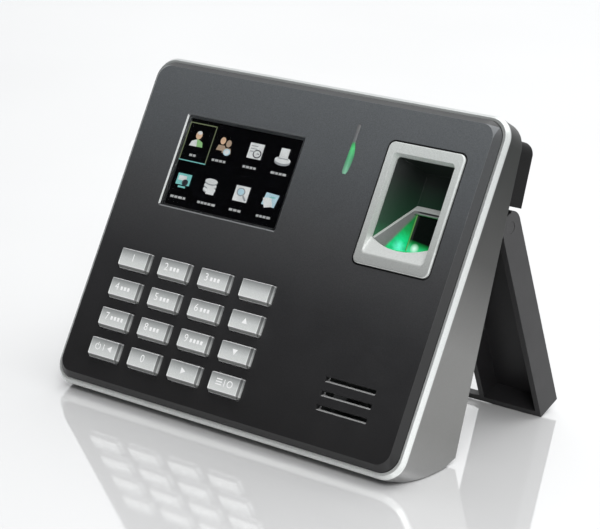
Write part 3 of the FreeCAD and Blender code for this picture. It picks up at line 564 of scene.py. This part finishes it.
def rectangle(x0, x1, z0, z1):
    return [(x0, z0), (x1, z0), (x1, z1), (x0, z1)]


def disc(x, z, radius, height=None, count=20):
    """Circle, or an oval where a height is given."""
    height = radius if height is None else height
    return [(x + radius * math.cos(math.tau * i / count), z + height * math.sin(math.tau * i / count))
            for i in range(count)]


def ring(x, z, radius, width, start=0.0, sweep=360.0, count=24):
    """Ring, or part of one, as a row of short wedges that meet edge to edge."""
    wedges = []
    for i in range(count):
        a = math.radians(start + sweep * i / count)
        b = math.radians(start + sweep * (i + 1) / count)
        wedges.append([(x + radius * math.cos(a), z + radius * math.sin(a)),
                       (x + radius * math.cos(b), z + radius * math.sin(b)),
                       (x + (radius - width) * math.cos(b), z + (radius - width) * math.sin(b)),
                       (x + (radius - width) * math.cos(a), z + (radius - width) * math.sin(a))])
    return wedges


def digit_mesh(name, text, size, x, into, z):
    """A numeral in the built-in plain typeface, laid on the face and centred on (x, z)."""
    curve = bpy.data.curves.new(name, "FONT")
    curve.body = text
    curve.size = size
    curve.align_x = "CENTER"
    curve.align_y = "CENTER"
    curve.extrude = 0.01 * MM
    holder = bpy.data.objects.new(name + "_outline", curve)
    bpy.context.collection.objects.link(holder)
    bpy.context.view_layer.update()
    mesh = bpy.data.meshes.new_from_object(holder.evaluated_get(bpy.context.evaluated_depsgraph_get()))
    bpy.data.objects.remove(holder)
    bpy.data.curves.remove(curve)
    mesh.name = name
    for vertex in mesh.vertices:
        vertex.co = face_point(x + vertex.co.x, into - vertex.co.z, z + vertex.co.y)
    mesh.update()
    return mesh


def key_symbols(word, x, z):
    """Outlines of a key's arrow and other symbols, about the middle of its marks."""
    outlines = []
    direction = {"up": (0, 1), "down": (0, -1), "left": (-1, 0), "right": (1, 0)}.get(word)
    if direction:
        ax, az = direction
        shift = 3.6 * MM if word == "left" else 0.3 * MM
        outlines.append([(x + shift + (ax * u - az * v) * MM, z + (az * u + ax * v) * MM)
                         for u, v in ((1.3, 0.0), (-1.1, 1.4), (-1.1, -1.4))])
    if word == "left":
        outlines += ring(x - 3.0 * MM, z, 1.5 * MM, 0.4 * MM, 120, 300)
        outlines.append(rectangle(x - 3.2 * MM, x - 2.8 * MM, z + 0.4 * MM, z + 1.8 * MM))
        outlines.append(rectangle(x + 0.1 * MM, x + 0.45 * MM, z - 1.4 * MM, z + 1.4 * MM))
    if word == "enter":
        for i in range(3):
            low = -1.3 + 1.1 * i
            high = -0.8 + 1.1 * i
            outlines.append(rectangle(x - 4.0 * MM, x - 1.0 * MM, z + low * MM, z + high * MM))
        outlines.append(rectangle(x + 0.2 * MM, x + 0.6 * MM, z - 1.5 * MM, z + 1.5 * MM))
        outlines += ring(x + 3.2 * MM, z, 1.5 * MM, 0.45 * MM)
    return outlines


def key_marks():
    """Numerals, arrows and plain symbols; letter groups are shown as small blocks."""
    white, tree, shader = new_material("legend_white", (0.95, 0.97, 0.95), 0.5)
    speck = stops(tree, noise(tree, 2500.0, 2.0), [(0.3, 0.88), (0.7, 0.98)])
    tree.links.new(speck, shader.inputs["Base Color"])
    numeral_size, numeral_shift = 4.6 * MM, 3.6 * MM
    for node in [name for name in frame["nodes"] if name.startswith("key_")]:
        lows, highs = face_box(node)
        x = (lows[0] + highs[0]) / 2 - 0.3 * MM
        z = (lows[2] + highs[2]) / 2 + 0.6 * MM
        into = lows[1] - 0.03 * MM
        word = node[4:]
        outlines = key_symbols(word, x, z)
        if word.isdigit():
            letters = {"0": 0, "1": 0, "7": 4, "9": 4}.get(word, 3)
            left_shift = numeral_shift if letters else 0
            mesh = digit_mesh("mark_" + word, word, numeral_size, x - left_shift, into, z)
            add_piece("numeral_" + word, mesh, white, node + "_cap")
            for i in range(letters):
                left = x + (-1.4 + 1.9 * i) * MM
                outlines.append(rectangle(left, left + 1.2 * MM, z - 1.1 * MM, z + 0.5 * MM))
        if outlines:
            mesh = flat_mesh("mark_" + word + "_blocks", outlines, into, 0.02 * MM)
            add_piece("symbol_" + word, mesh, white, node + "_cap")


# The menu's pictures stand in four columns and two rows, in mm from the display's upper left corner.
COLUMNS = (8.1, 23.2, 40.1, 55.2)
ROWS = (9.5, 28.6)
CAPTION_ROWS = (16.9, 35.9)
INKS = {
    "white": (0.80, 0.82, 0.82), "shade": (0.34, 0.36, 0.38), "olive": (0.20, 0.24, 0.13),
    "teal": (0.22, 0.62, 0.60), "skin": (0.78, 0.52, 0.34), "earth": (0.42, 0.31, 0.22),
    "green": (0.30, 0.60, 0.24), "sky": (0.50, 0.72, 0.82), "dark": (0.02, 0.02, 0.03),
    "caption": (0.52, 0.53, 0.53),
}


class Pen:
    """Gathers flat shapes by ink and layer; a point is (right, down) in mm on the display."""

    def __init__(self, left, top):
        self.left = left
        self.top = top
        self.layers = {}

    def shape(self, ink, layer, outline):
        points = [(self.left + right * MM, self.top - down * MM) for right, down in outline]
        self.layers.setdefault((ink, layer), []).append(points)

    def icon(self, ink, layer, outline):
        """Icons are a little wider than tall: heights are drawn at 0.8 about their own row."""
        halfway = 19
        squeezed = []
        for right, down in outline:
            row = ROWS[0] if down < halfway else ROWS[1]
            squeezed.append((right, row + (down - row) * 0.8))
        self.shape(ink, layer, squeezed)

    def box(self, ink, layer, x, y, width, height, lean=0.0):
        self.icon(ink, layer, [(x - width / 2 + lean, y - height / 2), (x + width / 2 + lean, y - height / 2),
                               (x + width / 2 - lean, y + height / 2), (x - width / 2 - lean, y + height / 2)])

    def round(self, ink, layer, x, y, radius, height=None):
        self.icon(ink, layer, disc(x, y, radius, height))


def selection_frame(pen):
    for x0, x1, y0, y1, ink in ((1.3, 16.3, 2.7, 3.1, "olive"), (1.3, 1.7, 3.1, 19.5, "olive"),
                                (15.9, 16.3, 3.1, 19.5, "olive"), (1.3, 16.3, 19.5, 19.9, "teal")):
        pen.shape(ink, 0, rectangle(x0, x1, y0, y1))


def one_person(pen, x, y):
    pen.icon("green", 0, [(x - 3.6, y + 4.3), (x - 2.9, y + 1.6), (x, y + 0.2), (x + 2.9, y + 1.6),
                          (x + 3.6, y + 4.3)])
    pen.icon("white", 1, [(x - 3.8, y + 4.4), (x - 3.0, y + 1.7), (x - 0.4, y + 0.4), (x + 0.4, y + 4.4)])
    pen.round("skin", 2, x, y - 2.0, 1.7, 2.3)
    pen.round("white", 3, x + 0.1, y - 3.3, 1.3, 1.0)


def two_people_and_badge(pen, x, y):
    for dx, dy, ink in ((1.9, 0.8, "earth"), (-1.5, -0.2, "skin")):
        pen.icon("earth", 0, [(x + dx - 2.5, y + dy + 3.9), (x + dx - 1.8, y + dy + 1.0),
                              (x + dx + 1.8, y + dy + 1.0), (x + dx + 2.5, y + dy + 3.9)])
        pen.round(ink, 1, x + dx, y + dy - 1.5, 1.4, 2.0)
    pen.round("sky", 2, x + 2.2, y + 4.0, 1.9)
    pen.round("white", 3, x + 2.2, y + 4.0, 1.2)


def sheet_and_dial(pen, x, y):
    pen.box("white", 0, x, y + 0.2, 7.6, 8.4)
    for i in range(3):
        pen.box("shade", 1, x - 1.2, y - 2.4 + 1.5 * i, 3.6, 0.5)
    pen.round("dark", 1, x + 1.2, y + 1.6, 2.3)
    pen.round("white", 2, x + 1.2, y + 1.6, 1.7)
    pen.box("dark", 3, x + 1.7, y + 1.5, 1.3, 0.4)


def printer(pen, x, y):
    pen.round("shade", 0, x, y + 3.0, 4.2, 2.0)
    pen.round("white", 1, x, y + 2.0, 4.2, 1.8)
    pen.box("shade", 2, x, y + 1.2, 5.6, 0.5)
    pen.box("white", 3, x, y - 1.8, 4.6, 5.2)


def monitor(pen, x, y):
    pen.box("teal", 0, x - 0.4, y - 0.8, 7.6, 6.2)
    pen.box("white", 1, x - 1.2, y - 1.4, 4.4, 2.6)
    pen.round("dark", 2, x + 0.8, y + 0.8, 1.7)
    pen.box("teal", 0, x - 0.4, y + 3.4, 4.0, 1.0)


def stack_of_records(pen, x, y):
    for i in range(3):
        pen.round("shade", 2 * i, x - 0.4, y + 2.2 - 2.2 * i, 3.4, 1.5)
        pen.round("white", 2 * i + 1, x - 0.4, y + 1.5 - 2.2 * i, 3.4, 1.5)
    pen.box("white", 7, x + 0.6, y + 2.4, 4.4, 3.6)


def sheet_and_looking_glass(pen, x, y):
    pen.box("white", 0, x, y, 7.6, 8.4)
    pen.round("shade", 1, x - 0.5, y - 0.9, 2.3)
    pen.round("sky", 2, x - 0.5, y - 0.9, 1.7)
    pen.icon("shade", 3, [(x + 0.8, y + 1.3), (x + 1.5, y + 0.7), (x + 3.4, y + 3.0), (x + 2.7, y + 3.7)])


def tilted_sheets(pen, x, y):
    pen.icon("sky", 0, [(x - 2.6, y - 3.8), (x + 4.4, y - 3.4), (x + 3.4, y + 3.6), (x - 3.6, y + 2.8)])
    pen.icon("white", 1, [(x - 3.6, y - 0.6), (x + 0.6, y - 1.6), (x + 2.4, y + 3.2), (x - 1.6, y + 4.4)])
    pen.box("teal", 2, x + 1.4, y - 1.6, 3.0, 0.8, 0.6)


def captions(pen):
    """Rows of plain blocks, all of one height; the first caption is a short one."""
    order = random.Random(7)
    gap = 0.45
    for row in CAPTION_ROWS:
        for column in COLUMNS:
            first = column == COLUMNS[0] and row == CAPTION_ROWS[0]
            width = 3.0 if first else order.uniform(6.4, 8.6)
            left = column - width / 2 - 0.4
            while left < column + width / 2 - 0.8:
                step = order.uniform(1.3, 2.2)
                pen.shape("caption", 0, rectangle(left, left + step, row - 0.4, row + 0.6))
                left += step + gap


def screen_pictures():
    """A generic menu of eight plain pictures, in thin layers just behind the lens."""
    lows, highs = face_box("display_lens")
    depth = highs[1] + 0.15 * MM
    pen = Pen(lows[0] - 0.4 * MM, highs[2] + 0.15 * MM)
    selection_frame(pen)
    icons = ((one_person, two_people_and_badge, sheet_and_dial, printer),
             (monitor, stack_of_records, sheet_and_looking_glass, tilted_sheets))
    for row, pictures in zip(ROWS, icons):
        for column, picture in zip(COLUMNS, pictures):
            picture(pen, column, row)
    captions(pen)
    papers = {ink: glowing("screen_" + ink, colour, 0.85, grain=260.0, dip=0.82)
              for ink, colour in INKS.items()}
    for (ink, layer), outlines in pen.layers.items():
        name = "screen_%s_%d" % (ink, layer)
        into = depth + (0.35 - 0.04 * layer) * MM
        mesh = flat_mesh(name, outlines, into, 0.02 * MM)
        add_piece(name, mesh, papers[ink], "housing")


def window_edges():
    """Polished bevel of the display window with a painted highlight: bright at the left, grey below."""
    lows, highs = face_box("display_lens")
    face = face_box("front_panel")[0][1]
    out, deep, lift = 0.72 * MM, 0.45 * MM, 0.03 * MM
    inset, corner = 0.1 * MM, 0.4 * MM
    shallow = face + 0.02 * MM
    # Painted highlight: the left bevel's colour is bright and the lower bevel's is a dimmer grey.
    side_light_and_shade = {
        "left": ((0.48, 0.50, 0.49),
                 [(lows[0] - inset, face + deep, lows[2]), (lows[0] - inset, face + deep, highs[2]),
                  (lows[0] - out, shallow, highs[2] + corner), (lows[0] - out, shallow, lows[2] - corner)]),
        "lower": ((0.13, 0.135, 0.14),
                  [(lows[0], face + deep, lows[2] - inset), (highs[0], face + deep, lows[2] - inset),
                   (highs[0] + corner, shallow, lows[2] - out), (lows[0] - corner, shallow, lows[2] - out)]),
    }
    for side, (colour, corners) in side_light_and_shade.items():
        mesh = bpy.data.meshes.new("window_edge_" + side)
        front = [face_point(right, into - lift, up) for right, into, up in corners]
        back = [face_point(right, into - lift / 3, up) for right, into, up in corners]
        walls = [(i, (i + 1) % 4, (i + 1) % 4 + 4, i + 4) for i in range(4)]
        mesh.from_pydata(front + back, [], [(0, 1, 2, 3), (7, 6, 5, 4)] + walls)
        material = black_plastic("window_edge_" + side, colour, 0.3, 2600.0, 0.1, 0.02 * MM)
        add_piece("window_edge_" + side, mesh, material, "housing")


camera()
studio()
dress_nodes()
key_marks()
screen_pictures()
window_edges()
